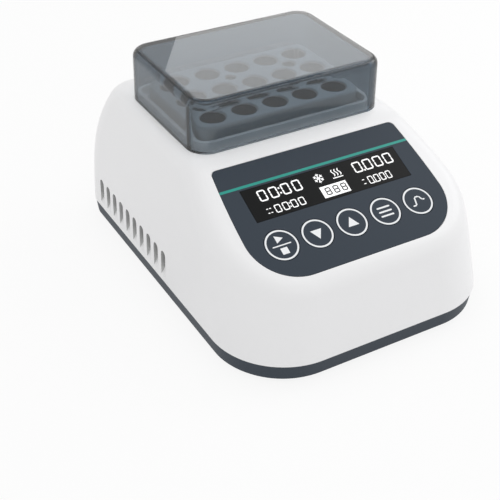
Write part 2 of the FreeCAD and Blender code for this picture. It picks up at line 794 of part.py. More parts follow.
def make_insulation_collar():
    inner_x = block_width / 2 + block_clearance
    inner_y = block_depth / 2 + block_clearance
    radius = block_corner_radius + block_clearance
    ring = rounded_box(inner_x + collar_thickness, inner_y + collar_thickness, block_y,
                       radius + collar_thickness, sink_top, deck_height - wall)
    ring = ring.cut(rounded_box(inner_x, inner_y, block_y, radius, sink_top - 1, deck_height))
    lead_hole = Part.makeCylinder(sensor_diameter / 2 + 0.4, 2 * collar_thickness,
                                  Vector(inner_x - 1, block_y, spreader_middle()), Vector(1, 0, 0))
    return ring.cut(lead_hole)


def spreader_middle():
    return spreader_bottom + spreader_thickness / 2


def make_heat_spreader():
    plate = rounded_box(block_width / 2, block_depth / 2, block_y, block_corner_radius,
                        spreader_bottom, block_bottom)
    cuts = []
    for x, y in block_screw_places():
        cuts.append(rod(x, y, block_bottom - block_screw_reach - 0.4, block_bottom + 1, 2 * hole_radius))
    for x, y in spreader_corners():
        cuts.append(rod(x, y, spreader_bottom - 1, block_bottom + 1, 2 * hole_radius))
        cuts.append(rod(x, y, spreader_screw_seat(), block_bottom + 1, screw_head_diameter + 2 * fit_gap))
    cuts.append(sensor_rod(sensor_diameter + 2 * screw_clearance))
    return plate.cut(cuts)


def sensor_rod(diameter):
    start = Vector(block_width / 2 - sensor_length + sensor_tail, block_y, spreader_middle())
    return Part.makeCylinder(diameter / 2, sensor_length, start, Vector(1, 0, 0))


def spreader_screw_seat():
    return block_bottom - screw_head_height - overlay_gap


def make_spreader_screws():
    return group([screw(x, y, spreader_screw_seat(), sink_top - spreader_screw_reach)
                  for x, y in spreader_corners()])


def make_peltier_modules():
    half = peltier_size / 2
    offset = (peltier_size + peltier_gap) / 2
    return group([box(x - half, x + half, block_y - half, block_y + half, sink_top, spreader_bottom)
                  for x in (-offset, offset)])


def make_heatsink():
    sink = box(-sink_width / 2, sink_width / 2, block_y - sink_depth / 2, block_y + sink_depth / 2,
               sink_bottom, sink_top)
    fins = []
    fin_reach = sink_width / 2 - fin_side_margin
    for number in range(fin_count):
        y = block_y + (number - (fin_count - 1) / 2) * fin_pitch
        fins.append(box(-fin_reach, fin_reach, y - fin_thickness / 2, y + fin_thickness / 2,
                        fin_bottom, sink_bottom))
    cuts = []
    for x, y in sink_corners():
        cuts.append(rod(x, y, sink_bottom - 1, sink_top + 1, 2 * hole_radius))
    for x, y in spreader_corners():
        cuts.append(rod(x, y, sink_top - spreader_screw_reach - 0.3, sink_top + 1, 2 * hole_radius))
    return sink.fuse(fins).cut(cuts)


def make_heatsink_screws():
    return group([screw(x, y, sink_top, sink_bottom - sink_screw_reach) for x, y in sink_corners()])


def make_fan_frame():
    frame = rounded_box(fan_size / 2, fan_size / 2, block_y, fan_corner_radius, fan_bottom, fan_top)
    frame = frame.cut(rod(0, block_y, fan_bottom - 1, fan_top + 1, fan_bore))
    hub = rod(0, block_y, fan_bottom, fan_bottom + fan_plate, fan_hub)
    struts = []
    for turn in (45, 135, 225, 315):
        strut = box(fan_hub / 2 - 1, fan_bore / 2 + 1, -fan_strut_width / 2, fan_strut_width / 2,
                    0, fan_strut_thickness)
        strut.rotate(Vector(0, 0, 0), Vector(0, 0, 1), turn)
        strut.translate(Vector(0, block_y, fan_bottom))
        struts.append(strut)
    shaft = rod(0, block_y, fan_bottom + fan_plate, fan_top - 2.5 * fan_end_gap, shaft_diameter)
    frame = frame.fuse(struts + [hub, shaft])
    cuts = []
    for x, y in fan_corners():
        cuts.append(rod(x, y, fan_bottom - 1, fan_top + 1, 2 * (hole_radius + 2 * fit_gap)))
        cuts.append(rod(x, y, fan_screw_seat(), fan_top + 1, screw_head_diameter + 2 * fit_gap))
    return frame.cut(cuts)


def fan_screw_seat():
    return fan_top - screw_head_height - key_flange_gap


def make_fan_rotor():
    low = fan_bottom + fan_plate + fan_end_gap / 2
    high = fan_top - fan_end_gap
    hub = rod(0, block_y, low, high, fan_hub)
    tip = fan_bore / 2 - fan_tip_gap
    half_thickness = fan_blade_thickness / 2
    blades = []
    for number in range(fan_blades):
        sections = []
        for radius, pitch, chord in ((fan_hub / 2 - 1.5, fan_root_pitch, fan_root_chord),
                                     (tip + 1, fan_tip_pitch, fan_tip_chord)):
            half = chord / 2
            wire = Part.makePolygon([Vector(radius, y, z) for y, z in (
                (-half, -half_thickness), (half, -half_thickness), (half, half_thickness),
                (-half, half_thickness), (-half, -half_thickness))])
            wire.rotate(Vector(radius, 0, 0), Vector(1, 0, 0), pitch)
            sections.append(wire)
        blade = Part.makeLoft(sections, True, True)
        blade.rotate(Vector(0, 0, 0), Vector(0, 0, 1), number * 360 / fan_blades)
        blade.translate(Vector(0, block_y, (low + high) / 2))
        blades.append(blade)
    rotor = hub.fuse(blades).common(rod(0, block_y, low, high, 2 * tip))
    bore = rod(0, block_y, low - 1, fan_top - 2 * fan_end_gap, shaft_diameter + 2 * running_clearance)
    return rotor.cut(bore)


def make_fan_screws():
    return group([screw(x, y, fan_screw_seat(), foot_height + tray_skin) for x, y in fan_corners()])


def make_main_board():
    low = floor_z + main_board_lift
    top = low + board_thickness
    half_x = main_board_width / 2
    half_y = main_board_depth / 2
    board = box(-half_x, half_x, main_board_y - half_y, main_board_y + half_y, low, top)
    # processor, coil, driver and two sockets along the rear edge
    rear = main_board_y + half_y
    parts = [box(-8, 4, main_board_y - 8, main_board_y + 4, top, top + 1.6),
             box(half_x - 28, half_x - 14, main_board_y - 16, main_board_y - 4, top, top + 7),
             box(6 - half_x, 14 - half_x, main_board_y - 6, main_board_y + 12, top, top + 9),
             box(half_x - 30, half_x - 10, rear - 11, rear - 4, top, top + 8),
             box(-16, 2, rear - 10, rear - 4, top, top + 6)]
    holes = [rod(x, y, low - 1, top + 1, 2 * hole_radius) for x, y in board_corners()]
    return board.fuse(parts).cut(holes)


def main_board_top():
    return floor_z + main_board_lift + board_thickness


def make_capacitors():
    half_x = main_board_width / 2
    places = [(20 - half_x, main_board_y - 10), (20 - half_x, main_board_y + 3), (half_x - 7, main_board_y)]
    top = main_board_top()
    return group([rod(x, y, top, top + capacitor_height, capacitor_diameter) for x, y in places])


def make_board_screws():
    return group([screw(x, y, main_board_top(), foot_height + tray_skin) for x, y in board_corners()])


def make_power_inlet():
    outer_y = rear_panel_y + inlet_bezel_thickness
    inner_y = rear_panel_y - wall
    socket_floor = outer_y - inlet_socket_depth

    def barrel(diameter, y0, y1):
        return Part.makeCylinder(diameter / 2, y1 - y0, Vector(inlet_x, y0, rear_row_z), Vector(0, 1, 0))

    jack = barrel(inlet_bezel, rear_panel_y, outer_y)
    edge = [e for e in jack.Edges if e.BoundBox.YMin > outer_y - 0.01 and len(e.Vertexes) == 1]
    jack = jack.makeChamfer(inlet_bezel_chamfer, edge)
    jack = jack.fuse([barrel(inlet_barrel, inner_y - 1, rear_panel_y + 0.5),
                      barrel(inlet_body, inner_y - inlet_body_length, inner_y)])
    jack = jack.cut(barrel(inlet_socket, socket_floor, outer_y + 1))
    return jack.fuse(barrel(inlet_pin, socket_floor - 0.5, outer_y - inlet_pin_inset))


def around_switch(half_w, half_h, y0, y1):
    return box(switch_x - half_w, switch_x + half_w, y0, y1, rear_row_z - half_h, rear_row_z + half_h)


def make_rocker_frame():
    frame_y = rear_panel_y + rocker_frame_thickness
    half_w = rocker_frame_width / 2
    half_h = rocker_frame_height / 2
    ledge = rocker_frame_ledge
    flange = around_switch(half_w, half_h, rear_panel_y, frame_y)
    body = around_switch(half_w - ledge, half_h - ledge, rear_panel_y - rocker_body_depth, rear_panel_y + 0.5)
    pocket = around_switch(half_w - rocker_frame_wall, half_h - rocker_frame_wall,
                           rear_panel_y - rocker_pocket, frame_y + 1)
    pin_half = half_w - rocker_frame_wall + 0.6
    pin = Part.makeCylinder(rocker_pin / 2, 2 * pin_half,
                            Vector(switch_x - pin_half, rear_panel_y - rocker_pin_depth, rear_row_z),
                            Vector(1, 0, 0))
    return flange.fuse(body).cut(pocket).fuse(pin)


def make_power_rocker():
    """Paddle with a dished face, turned about its pin so that its upper end stands out."""
    half = rocker_frame_height / 2 - rocker_frame_wall - rocker_end_gap
    width = rocker_frame_width - 2 * (rocker_frame_wall + rocker_side_gap)
    face = rocker_middle + rocker_rise
    points = [(rocker_middle, 0), (face, half), (face - rocker_edge, half), (-rocker_middle, 0.45 * half),
              (-rocker_middle, -0.45 * half), (face - rocker_edge, -half), (face, -half)]
    wire = Part.makePolygon([Vector(0, y, z) for y, z in points + points[:1]])
    paddle = Part.Face(wire).extrude(Vector(width, 0, 0))
    paddle.translate(Vector(-width / 2, 0, 0))
    bore = Part.makeCylinder(rocker_pin / 2 + running_clearance, width + 2, Vector(-width / 2 - 1, 0, 0),
                             Vector(1, 0, 0))
    paddle = paddle.cut(bore)
    paddle.rotate(Vector(0, 0, 0), Vector(1, 0, 0), -rocker_tilt)
    paddle.translate(Vector(switch_x, rear_panel_y - rocker_pin_depth, rear_row_z))
    return paddle


def build():
    parts = {
        "upper_housing": make_upper_housing(),
        "base_tray": make_base_tray(),
        "rubber_feet": make_rubber_feet(),
        "housing_screws": make_housing_screws(),
        "panel_overlay": make_panel_overlay(),
        "accent_stripe": on_panel(stripe_form(0.0)),
        "display_window": make_display_window(),
        "display_module": make_display_module(),
        "panel_board": make_panel_board(),
        "key_switches": make_key_switches(),
        "panel_screws": make_panel_screws(),
        "lid": make_lid(),
        "tube_block": make_tube_block(),
        "block_screws": make_block_screws(),
        "deck_gasket": make_deck_gasket(),
        "insulation_collar": make_insulation_collar(),
        "heat_spreader": make_heat_spreader(),
        "temperature_sensor": sensor_rod(sensor_diameter),
        "spreader_screws": make_spreader_screws(),
        "peltier_modules": make_peltier_modules(),
        "heatsink": make_heatsink(),
        "heatsink_screws": make_heatsink_screws(),
        "fan_frame": make_fan_frame(),
        "fan_rotor": make_fan_rotor(),
        "fan_screws": make_fan_screws(),
        "main_board": make_main_board(),
        "capacitors": make_capacitors(),
        "board_screws": make_board_screws(),
        "power_inlet": make_power_inlet(),
        "rocker_frame": make_rocker_frame(),
        "power_rocker": make_power_rocker(),
    }
    for name, x, size in zip(key_names, key_places, key_sizes):
        parts[name] = make_key(x, size)
    return parts


os.makedirs("parts", exist_ok=True)
for node, shape in build().items():
    solids = shape.Solids
    state = "valid" if shape.isValid() else "NOT VALID"
    print(node, len(solids), "solids", round(shape.Volume, 1), "mm3", state)
    shape.exportStep("parts/" + node + ".step")
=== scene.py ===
import math

import bmesh
import bpy
from mathutils import Matrix, Vector


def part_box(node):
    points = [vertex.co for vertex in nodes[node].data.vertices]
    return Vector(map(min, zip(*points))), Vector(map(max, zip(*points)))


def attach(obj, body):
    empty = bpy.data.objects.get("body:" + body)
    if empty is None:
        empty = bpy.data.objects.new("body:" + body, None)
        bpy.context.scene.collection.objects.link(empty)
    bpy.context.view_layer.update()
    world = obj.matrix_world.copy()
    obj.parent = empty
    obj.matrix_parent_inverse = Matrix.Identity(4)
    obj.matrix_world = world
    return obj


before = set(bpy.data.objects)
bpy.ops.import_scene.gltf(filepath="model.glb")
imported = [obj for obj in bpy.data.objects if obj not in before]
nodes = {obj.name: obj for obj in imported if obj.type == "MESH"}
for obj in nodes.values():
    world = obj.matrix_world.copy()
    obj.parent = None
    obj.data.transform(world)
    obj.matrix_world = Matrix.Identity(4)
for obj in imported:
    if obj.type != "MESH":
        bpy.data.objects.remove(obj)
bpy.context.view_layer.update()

# The studio: a pale sweep that keeps a soft shadow under the instrument, even light from all round,
# and one wide softbox high on the right, as in a catalogue photograph.
# The camera stands in front of the left corner and looks down on the deck.


def add_node(tree, kind, inputs, **options):
    """Adds one shader node with its options, and fills its inputs with values or other nodes' outputs."""
    made = tree.nodes.new("ShaderNode" + kind)
    for option, value in options.items():
        setattr(made, option, value)
    for name, value in inputs.items():
        if isinstance(value, bpy.types.NodeSocket):
            tree.links.new(value, made.inputs[name])
        else:
            made.inputs[name].default_value = value
    return made


def linear(code):
    """The scene's linear colour for an sRGB hex value such as 3aa39a."""
    parts = [int(code[place:place + 2], 16) / 255 for place in (0, 2, 4)]
    return tuple(c / 12.92 if c <= 0.04045 else ((c + 0.055) / 1.055) ** 2.4 for c in parts) + (1.0,)


def start_material(name, colour, roughness, **sockets):
    """A new material and its own shader, with the values that are the same all over it."""
    material = bpy.data.materials.new(name)
    material.use_nodes = True
    shader = material.node_tree.nodes["Principled BSDF"]
    shader.inputs["Base Color"].default_value = linear(colour)
    shader.inputs["Roughness"].default_value = roughness
    for socket, value in sockets.items():
        shader.inputs[socket.replace("_", " ")].default_value = value
    return material, material.node_tree, shader


lens_mm = 73.4
sensor_mm = 36.0
camera_place = Vector((-0.20286, -0.32225, 0.27146))
camera_yaw = math.radians(30.149)
camera_pitch = math.radians(35.442)
camera_roll = math.radians(0.657)
camera = bpy.data.objects.new("camera", bpy.data.cameras.new("camera"))
bpy.context.scene.collection.objects.link(camera)
camera.data.lens = lens_mm
camera.data.sensor_width = sensor_mm
camera.location = camera_place
turn = Matrix.Rotation(-camera_yaw, 4, "Z") @ Matrix.Rotation(math.pi / 2 - camera_pitch, 4, "X")
camera.rotation_euler = (turn @ Matrix.Rotation(camera_roll, 4, "Z")).to_euler()
bpy.context.scene.camera = camera
bpy.context.scene.view_settings.view_transform = "Standard"


def background_rays(tree):
    """One for the rays that show the white background: direct, mirrored or refracted. Else zero."""
    rays = add_node(tree, "LightPath", {})
    straight = add_node(tree, "Math", {0: rays.outputs["Is Camera Ray"],
                                       1: rays.outputs["Is Transmission Ray"]}, operation="MAXIMUM")
    return add_node(tree, "Math", {0: straight.outputs[0], 1: rays.outputs["Is Glossy Ray"]},
                    operation="MAXIMUM")


sweep_reach = 3.0
sweep_mesh = bmesh.new()
bmesh.ops.create_grid(sweep_mesh, x_segments=2, y_segments=2, size=sweep_reach)
sweep = bpy.data.objects.new("studio_sweep", bpy.data.meshes.new("studio_sweep"))
sweep_mesh.to_mesh(sweep.data)
sweep_mesh.free()
bpy.context.scene.collection.objects.link(sweep)
glow_share = 0.88
paper, tree, shader = start_material("white_background_paper", "f2f2f2", 0.9, Specular_IOR_Level=0.1)
glow = add_node(tree, "Math", {0: background_rays(tree).outputs[0], 1: glow_share}, operation="MULTIPLY")
white = add_node(tree, "Emission", {"Color": linear("ffffff"), "Strength": 1.0})
paper_mix = add_node(tree, "MixShader", {0: glow.outputs[0], 1: shader.outputs[0], 2: white.outputs[0]})
tree.links.new(paper_mix.outputs[0], tree.nodes["Material Output"].inputs["Surface"])
sweep.data.materials.append(paper)

room_level = 0.85
background_level = 1.0
world = bpy.data.worlds.new("studio")
world.use_nodes = True
bpy.context.scene.world = world
tree = world.node_tree
level = add_node(tree, "MapRange", {"Value": background_rays(tree).outputs[0], "To Min": room_level,
                                    "To Max": background_level})
room = tree.nodes["Background"]
room.inputs["Color"].default_value = linear("ffffff")
tree.links.new(level.outputs[0], room.inputs["Strength"])


def softbox(name, place, turn, width, height, radiance):
    """A rectangular lamp of even brightness; turn is its rotation."""
    lamp = bpy.data.objects.new(name, bpy.data.lights.new(name, "AREA"))
    lamp.data.shape = "RECTANGLE"
    lamp.data.size = width
    lamp.data.size_y = height
    lamp.data.energy = radiance * math.pi * width * height
    lamp.location = place
    lamp.rotation_euler = turn
    bpy.context.scene.collection.objects.link(lamp)
    return lamp


right_place = Vector((0.42, -0.02, 0.40))
right_aim = Vector((0.03, 0.0, 0.05))
right_turn = (right_aim - right_place).to_track_quat("-Z", "Y").to_euler()
softbox("softbox_right", right_place, right_turn, width=0.30, height=0.40, radiance=1.6)
# The card behind the instrument is what the lid's top face mirrors. Its left edge shows across that face.
card_width = 0.6
edge_low = Vector((0.372, 0.880, 0.490))
edge_high = Vector((0.341, 0.849, 0.515))
lid_top = Vector((0, 0.025, 0.089))
card_up = (edge_high - edge_low).normalized()
card_out = (edge_low - lid_top).normalized()
card_left = card_up.cross(card_out).normalized()
card_out = card_left.cross(card_up)
card_turn = Matrix((card_left, card_up, card_out)).transposed().to_euler()
card_place = (edge_low + edge_high) / 2 - card_left * card_width / 2
card = softbox("card_behind", card_place, card_turn, width=card_width, height=0.9, radiance=1.33)
card.visible_diffuse = False

# The upper housing is one injection moulding in white ABS, polished in the tool to a soft gloss.
# Under the gloss the skin keeps a trace of orange peel, and its shine varies a little over each wall.
# The flanks of the air slots are coloured grey as painted shade, for the shadow that falls inside them.


def place_of(tree, millimetres):
    """The surface's place in the object, scaled so that one unit is that many millimetres."""
    place = add_node(tree, "TexCoord", {})
    return add_node(tree, "Mapping", {"Vector": place.outputs["Object"], "Scale": (1000 / millimetres,) * 3})


def grain(tree, shader, size_mm, height_mm, detail=2.0):
    """Fine relief of one grain size over the whole surface."""
    noise = add_node(tree, "TexNoise", {"Vector": place_of(tree, size_mm).outputs[0], "Scale": 1.0,
                                        "Detail": detail, "Roughness": 0.5})
    bump = add_node(tree, "Bump", {"Height": noise.outputs[0], "Strength": 1.0, "Distance": height_mm / 1000})
    tree.links.new(bump.outputs[0], shader.inputs["Normal"])
    return noise


def all_near(tree, vector, spans):
    """One where each named axis of the vector lies within its reach of its middle, else zero."""
    parts = add_node(tree, "SeparateXYZ", {0: vector})
    result = None
    for axis, (middle, reach) in spans:
        near = add_node(tree, "Math", {0: parts.outputs[axis], 1: middle, 2: reach}, operation="COMPARE")
        if result:
            near = add_node(tree, "Math", {0: result.outputs[0], 1: near.outputs[0]}, operation="MULTIPLY")
        result = near
    return result


def two_tone(tree, shader, mask, plain, masked):
    """Colours the surface plain where the mask is zero and masked where it is one."""
    tone = add_node(tree, "Mix", {0: mask.outputs[0], 6: linear(plain), 7: linear(masked)}, data_type="RGBA")
    tree.links.new(tone.outputs[2], shader.inputs["Base Color"])


def dress(name, material):
    """Gives a node its material."""
    node = nodes[name]
    node.data.materials.clear()
    node.data.materials.append(material)


shell_white = "f1f1f2"
# The grey for the slot flanks is painted shade, the shadow inside the air slots.
slot_shade_grey = "cacbca"
housing_white, tree, shader = start_material("moulded_abs_white", shell_white, 0.30, IOR=1.53)
grain(tree, shader, size_mm=1.4, height_mm=0.0035)
patches = add_node(tree, "TexNoise", {"Vector": place_of(tree, 22).outputs[0], "Scale": 1.0, "Detail": 1.0})
shine = add_node(tree, "MapRange", {"Value": patches.outputs[0], "To Min": 0.26, "To Max": 0.36})
tree.links.new(shine.outputs[0], shader.inputs["Roughness"])
slots_along = (0.026, 0.0352)
slots_high = (0.0193, 0.0069)
flank_turn = (0.0, 0.6)
place = add_node(tree, "TexCoord", {})
near_slots = all_near(tree, place.outputs["Object"], ((1, slots_along), (2, slots_high)))
turned = all_near(tree, place.outputs["Normal"], ((0, flank_turn),))
slot_shade_mask = add_node(tree, "Math", {0: near_slots.outputs[0], 1: turned.outputs[0]}, operation="MULTIPLY")
# Painted shade: the slot flanks take the grey in place of the shell's white.
two_tone(tree, shader, slot_shade_mask, shell_white, slot_shade_grey)
dress("upper_housing", housing_white)

# The base tray is dark slate ABS with a spark-eroded texture, so it stays matt beside the gloss above.
# It tapers inward to the bench and carries the feet, the fan and the main board.
# The texture is drawn coarser than the real one, so that it shows.
base_slate, tree, shader = start_material("moulded_abs_slate", "303943", 0.52, IOR=1.53,
                                          Specular_IOR_Level=0.3)
grain(tree, shader, size_mm=0.45, height_mm=0.012)
dress("base_tray", base_slate)

# Four turned feet of black nitrile rubber, pressed into round pockets under the tray.
# Rubber this soft is matt and faintly mottled.
foot_rubber, tree, shader = start_material("nitrile_rubber_black", "1b1c1d", 0.75, IOR=1.52)
grain(tree, shader, size_mm=0.6, height_mm=0.02)
dress("rubber_feet", foot_rubber)

# All screws and the sensor's tube are zinc-plated steel, bright where the plating took well.
# The screws have a recessed drive. The plating leaves a fine grey crystal pattern, drawn coarser
# than the real one, so that it shows in close light.
screw_zinc, tree, shader = start_material("zinc_plated_steel", "b9bcc0", 0.28, Metallic=1.0)
crystals = grain(tree, shader, size_mm=0.35, height_mm=0.004)
tone = add_node(tree, "ValToRGB", {0: crystals.outputs[0]})
tone.color_ramp.elements[0].color = linear("9a9da2")
tone.color_ramp.elements[1].color = linear("d2d4d6")
tree.links.new(tone.outputs[0], shader.inputs["Base Color"])
for name in ("housing_screws", "panel_screws", "block_screws", "spreader_screws", "heatsink_screws",
             "fan_screws", "board_screws", "temperature_sensor"):
    dress(name, screw_zinc)

# The control panel is a slate polyester film on a rigid backing, printed from behind.
# Its front has the fine velvet texture that keeps reflections off the print, drawn coarser than the
# real one, so that it shows.
panel_slope = math.radians(24.2)
crease = Vector((0, -0.0114, 0.066))
on_panel = Matrix.Translation(crease) @ Matrix.Rotation(panel_slope, 4, "X")
panel_film, tree, shader = start_material("polyester_film_slate", "2e3843", 0.55, IOR=1.6,
                                          Specular_IOR_Level=0.2)
grain(tree, shader, size_mm=0.3, height_mm=0.004)
dress("panel_overlay", panel_film)

# The thin teal stripe is a strip of coloured ABS let into the film from side to side.
# It is smoother than the film, so it catches a line of light.
stripe_teal, tree, shader = start_material("moulded_abs_teal", "27998c", 0.35, IOR=1.53,
                                           Specular_IOR_Level=0.25)
grain(tree, shader, size_mm=0.8, height_mm=0.002)
dress("accent_stripe", stripe_teal)

# The display's window is smoked polycarbonate with a dull antiglare face, almost black, and behind it
# sits the black glass of the display module. The face's relief is drawn coarser than the real one,
# so that it shows.
window_dark, tree, shader = start_material("smoked_polycarbonate", "121314", 0.30, IOR=1.58,
                                           Specular_IOR_Level=0.08)
grain(tree, shader, size_mm=0.25, height_mm=0.001)
dress("display_window", window_dark)

# The lit segments are white: two rows of digits on each side, and between them a snowflake, heat waves
# and a bright box with dark digits. Each is a thin flat shape on the window's face, with bevelled ends.
film_mm = 0.03
lit_white, tree, shader = start_material("lit_segment_white", "ffffff", 0.6, Emission_Color=linear("ffffff"),
                                         Emission_Strength=0.25, Specular_IOR_Level=0.1)
unlit_dark, tree, shader = start_material("unlit_segment_dark", "2a2b2c", 0.5, Specular_IOR_Level=0.1)


def flat_shapes(name, outlines, material, body, low_mm=0.0, high_mm=film_mm):
    """One piece of thin flat shapes, each outline drawn in millimetres across and up the panel."""
    mesh = bmesh.new()
    for outline in outlines:
        below = [mesh.verts.new((x / 1000, y / 1000, low_mm / 1000)) for x, y in outline]
        above = [mesh.verts.new((x / 1000, y / 1000, high_mm / 1000)) for x, y in outline]
        mesh.faces.new(list(reversed(below)))
        mesh.faces.new(above)
        count = len(outline)
        for number in range(count):
            after = (number + 1) % count
            mesh.faces.new((below[number], below[after], above[after], above[number]))
    bmesh.ops.recalc_face_normals(mesh, faces=mesh.faces)
    mesh.transform(on_panel)
    piece = bpy.data.objects.new(name, bpy.data.meshes.new(name))
    mesh.to_mesh(piece.data)
    mesh.free()
    piece.data.materials.append(material)
    bpy.context.scene.collection.objects.link(piece)
    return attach(piece, body)


def bar(x0, y0, x1, y1, width):
    """Outline of a straight stroke with bevelled ends, as a display segment has."""
    along = Vector((x1 - x0, y1 - y0)).normalized()
    across = Vector((-along.y, along.x)) * width / 2
    nose = along * width / 2
    start = Vector((x0, y0))
    end = Vector((x1, y1))
    return [start, start + nose - across, end - nose - across, end, end - nose + across,
            start + nose + across]


def oblong(x0, y0, x1, y1):
    """Outline of an upright oblong between two opposite corners."""
    return [(x0, y0), (x1, y0), (x1, y1), (x0, y1)]


def seven_segments(text, left, top, width, height, pitch, stroke, colon_room=0.0):
    """Outlines of a row of seven-segment digits; a point or colon stands in the gap before the next digit."""
    lit = {"0": "abcdef", "8": "abcdefg"}
    low = top - height
    middle = top - height / 2
    dot = stroke * 0.6
    inset = stroke / 2
    shapes = []
    x = left
    for sign in text:
        gap_x = x - (pitch - width) / 2
        if sign == ":":
            colon_x = gap_x + colon_room / 2
            for y in (top - 0.28 * height, top - 0.72 * height):
                shapes.append(oblong(colon_x - dot, y - dot, colon_x + dot, y + dot))
            x += colon_room
        elif sign == ".":
            shapes.append(oblong(gap_x - dot, low, gap_x + dot, low + 2 * dot))
        else:
            l, r, t, b = x + inset, x + width - inset, top - inset, low + inset
            places = {"a": (l, t, r, t), "b": (r, t, r, middle), "c": (r, middle, r, b), "d": (l, b, r, b),
                      "e": (l, middle, l, b), "f": (l, t, l, middle), "g": (l, middle, r, middle)}
            for segment in lit[sign]:
                x0, y0, x1, y1 = places[segment]
                shapes.append(bar(x0, y0, x1, y1, stroke))
            x += pitch
    return shapes


big_top = -19.8
big_height = 5.3
small_top = -28.0
small_height = 3.8
segments = seven_segments("00:00", left=-30.7, top=big_top, width=3.7, height=big_height, pitch=5.15,
                          stroke=0.62, colon_room=0.45)
segments += seven_segments("00:00", left=-27.0, top=small_top, width=2.7, height=small_height, pitch=3.6,
                           stroke=0.46, colon_room=0.25)
segments += seven_segments("0.000", left=14.3, top=big_top, width=3.9, height=big_height, pitch=5.1,
                           stroke=0.62)
segments += seven_segments("0.000", left=17.4, top=small_top, width=2.4, height=small_height, pitch=2.95,
                           stroke=0.44)
# Short dashes stand before the small digits: two in each row at the left, one at the right.
dash_stroke = 0.4
for dash_y in (small_top - 0.9, small_top - 2.9):
    for dash_left, dash_right in ((-30.6, -29.6), (-29.3, -28.3), (14.7, 15.9)):
        segments.append(bar(dash_left, dash_y, dash_right, dash_y, dash_stroke))
# The snowflake has six arms, each with a pair of side twigs.
flake_middle = Vector((-2.6, -22.3))
flake_radius = 2.4
knee_share = 0.52
twig_share = 0.42
arm_stroke = 0.42
twig_stroke = 0.36
for arm in range(6):
    angle = math.pi / 6 + arm * math.pi / 3
    out = Vector((math.cos(angle), math.sin(angle)))
    tip = flake_middle + out * flake_radius
    knee = flake_middle + out * flake_radius * knee_share
    segments.append(bar(flake_middle.x, flake_middle.y, tip.x, tip.y, arm_stroke))
    for side in (-1, 1):
        twig = angle + side * math.pi / 4
        end = knee + Vector((math.cos(twig), math.sin(twig))) * flake_radius * twig_share
        segments.append(bar(knee.x, knee.y, end.x, end.y, twig_stroke))
# The heat sign is three rising waves over a line.
wave_left = 4.6
wave_pitch = 1.5
wave_low = -23.5
wave_sway = 0.42
wave_rise = 0.42
half_wave = 0.26
for wave in range(3):
    x = wave_left + wave_pitch * wave
    steps = [(x + wave_sway * math.sin(k * math.pi / 4), wave_low + k * wave_rise) for k in range(9)]
    for (x0, y0), (x1, y1) in zip(steps, steps[1:]):
        segments.append([(x0 - half_wave, y0), (x0 + half_wave, y0), (x1 + half_wave, y1),
                         (x1 - half_wave, y1)])
segments.append(oblong(3.4, -24.5, 8.3, -24.05))
segments.append(oblong(-4.7, -32.0, 7.8, -26.5))
flat_shapes("display_segments", segments, lit_white, "housing")
box_digits = seven_segments("888", left=-3.0, top=-27.4, width=2.6, height=3.7, pitch=3.75, stroke=0.5)
flat_shapes("display_box_digits", box_digits, unlit_dark, "housing", film_mm, film_mm + 0.02)

# Five round keys are moulded in the same slate as the film and lie flush with it.
# Each has a white printed ring and sign: start and stop, down, up, menu bars and a programme's steps.
key_slate, tree, shader = start_material("moulded_key_slate", "2f3944", 0.48, IOR=1.5,
                                         Specular_IOR_Level=0.2)
grain(tree, shader, size_mm=0.3, height_mm=0.003)
print_white, tree, shader = start_material("screen_print_white", "f4f6f8", 0.5, Specular_IOR_Level=0.3)


def ring(centre_x, centre_y, outer, inner, steps=64):
    """Outlines of a ring, cut into short flat sectors."""
    shapes = []
    for number in range(steps):
        a0, a1 = (2 * math.pi * (number + k) / steps for k in (0, 1))
        shapes.append([(centre_x + r * math.cos(a), centre_y + r * math.sin(a)) for r, a in
                       ((inner, a0), (outer, a0), (outer, a1), (inner, a1))])
    return shapes


def start_stop_sign(x, y):
    play = [(x - 1.4, y + 1.2), (x + 1.9, y + 2.9), (x - 1.4, y + 4.6)]
    stop = oblong(x - 1.5, y - 4.2, x + 1.5, y - 1.3)
    return [play, stop, bar(x - 4.2, y - 0.05, x + 4.2, y - 0.05, 0.5)]


def down_sign(x, y):
    return [[(x - 2.5, y + 1.7), (x, y - 2.6), (x + 2.5, y + 1.7)]]


def up_sign(x, y):
    return [[(x - 2.5, y - 1.7), (x + 2.5, y - 1.7), (x, y + 2.6)]]


def menu_sign(x, y):
    return [bar(x - 3.2, y + lift, x + 3.2, y + lift, 0.75) for lift in (-2.0, 0.0, 2.0)]


def program_sign(x, y):
    corners = [(-3.4, -1.9), (-1.6, -1.9), (-0.6, 1.9), (1.4, 1.9), (2.2, 0.0), (3.5, 0.0)]
    return [bar(x + x0, y + y0, x + x1, y + y1, 0.65) for (x0, y0), (x1, y1) in zip(corners, corners[1:])]


key_row_mm = -45.6
key_pitch_mm = 16.2
start_cap_mm = 7.05
cap_mm = 6.7
ring_inset_mm = 0.22
ring_width_mm = 0.72
keys = (("start_stop_key", start_stop_sign), ("down_key", down_sign), ("up_key", up_sign),
        ("menu_key", menu_sign), ("program_key", program_sign))
for number, (name, sign) in enumerate(keys):
    dress(name, key_slate)
    ring_outer = (start_cap_mm if name == "start_stop_key" else cap_mm) - ring_inset_mm
    key_x = (number - 2) * key_pitch_mm
    shapes = ring(key_x, key_row_mm, ring_outer, ring_outer - ring_width_mm)
    flat_shapes(name + "_print", shapes + sign(key_x, key_row_mm), print_white, name)
